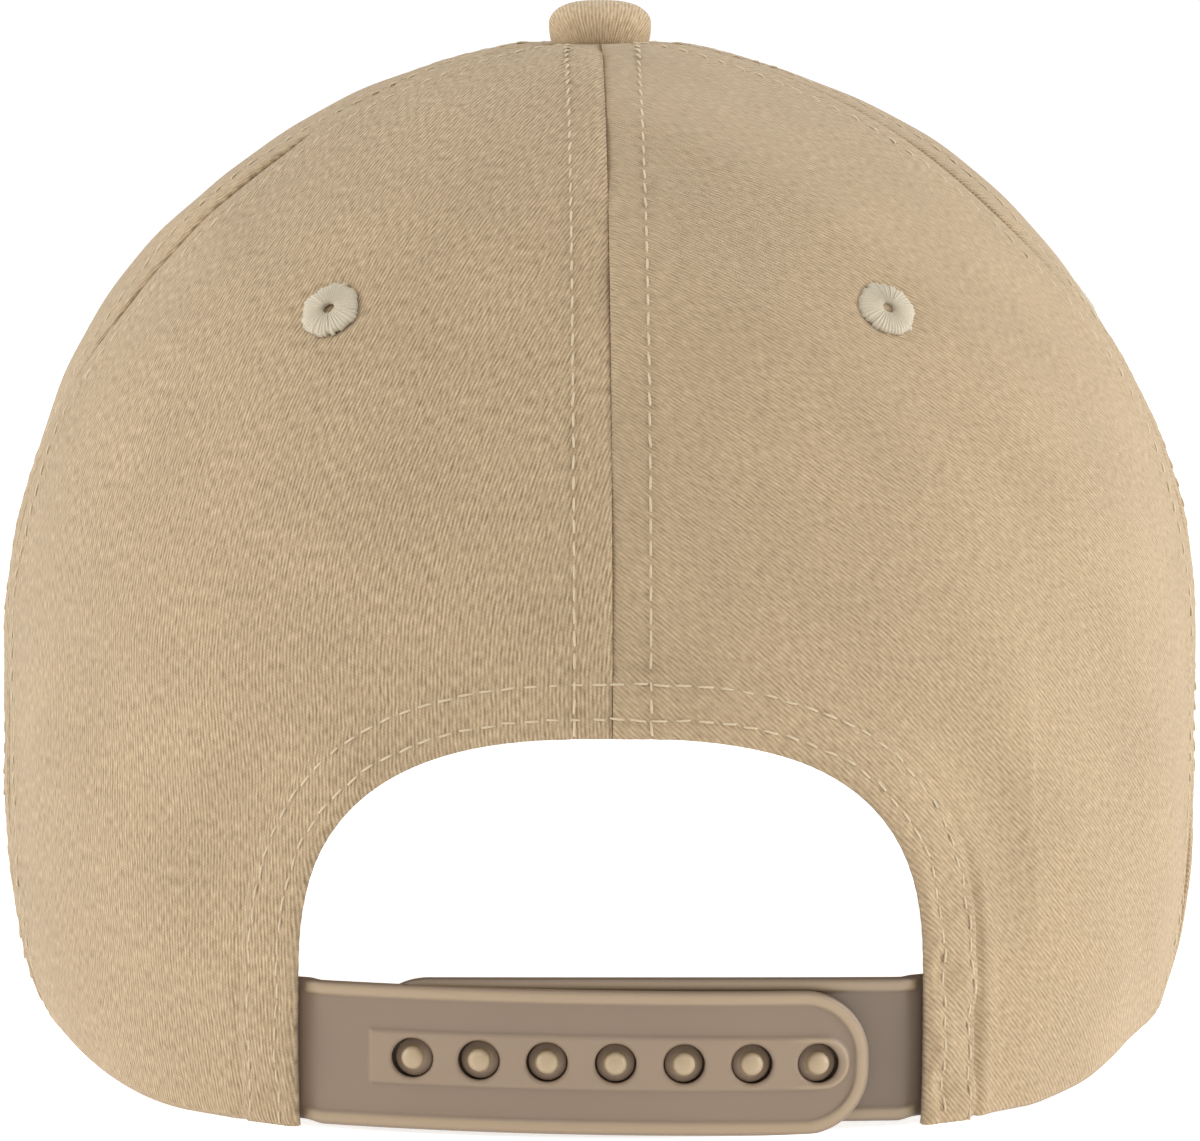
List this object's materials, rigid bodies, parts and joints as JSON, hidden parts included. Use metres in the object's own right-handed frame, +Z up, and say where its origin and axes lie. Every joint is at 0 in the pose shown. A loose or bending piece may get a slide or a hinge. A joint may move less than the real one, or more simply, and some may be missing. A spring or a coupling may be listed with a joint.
{
  "type": "baseball cap",
  "caption": "Six-panel snapback cap: twill crown with top button, eyelets and curved visor, and an adjustable plastic snap strap across the rear opening.",
  "frame": {"origin": "centre of the whole cap's footprint, on the surface it stands on; the button's axis is 41.5 mm behind it", "axes": "+Z up, +Y forwards towards the visor, +X to the wearer's right"},
  "size_m": [0.18, 0.267, 0.158],
  "materials": {
    "crown_twill": "matt cotton twill, khaki",
    "visor_twill": "matt cotton twill, khaki",
    "button_twill": "matt cotton twill, khaki",
    "sweatband_twill": "matt folded twill, khaki",
    "seam_tape": "plain woven tape",
    "buckram": "stiffened open net, off-white",
    "eyelet_thread": "satin embroidery thread",
    "board_plastic": "moulded sheet",
    "strap_plastic": "satin moulded plastic, taupe",
    "button_steel": "plated steel"
  },
  "bodies": {
    "crown": {"arch_band": "seam_tape", "back_seam_tape": "seam_tape", "button_backing": "button_steel", "button_cover": "button_twill", "button_shell": "button_steel", "button_stud": "button_steel", "centre_seam_tape": "seam_tape", "front_buckram_left": "buckram", "front_buckram_right": "buckram", "front_eyelet_left": "eyelet_thread", "front_eyelet_right": "eyelet_thread", "front_panel_left": "crown_twill", "front_panel_right": "crown_twill", "front_seam_tape_left": "seam_tape", "front_seam_tape_right": "seam_tape", "hole_strap_tab": "strap_plastic", "peg_strap_tab": "strap_plastic", "rear_eyelet_left": "eyelet_thread", "rear_eyelet_right": "eyelet_thread", "rear_panel_left": "crown_twill", "rear_panel_right": "crown_twill", "rear_seam_tape_left": "seam_tape", "rear_seam_tape_right": "seam_tape", "side_eyelet_left": "eyelet_thread", "side_eyelet_right": "eyelet_thread", "side_panel_left": "crown_twill", "side_panel_right": "crown_twill", "sweatband": "sweatband_twill", "visor_board": "board_plastic", "visor_top_cover": "visor_twill", "visor_under_cover": "visor_twill"},
    "hole_strap": {"hole_strap": "strap_plastic"},
    "peg_strap": {"peg_strap": "strap_plastic"}
  },
  "joints": [
    {"name": "hole_strap_swing", "type": "hinge", "parent": "crown", "child": "hole_strap", "pos_m": [-0.0419, -0.11943, 0.011], "axis": [0, 0, -1], "range_deg": [0, 70], "stiffness_Nm_per_rad": 0.02},
    {"name": "peg_strap_swing", "type": "hinge", "parent": "crown", "child": "peg_strap", "pos_m": [0.0419, -0.11943, 0.011], "axis": [0, 0, -1], "range_deg": [0, 20], "stiffness_Nm_per_rad": 0.02}
  ]
}
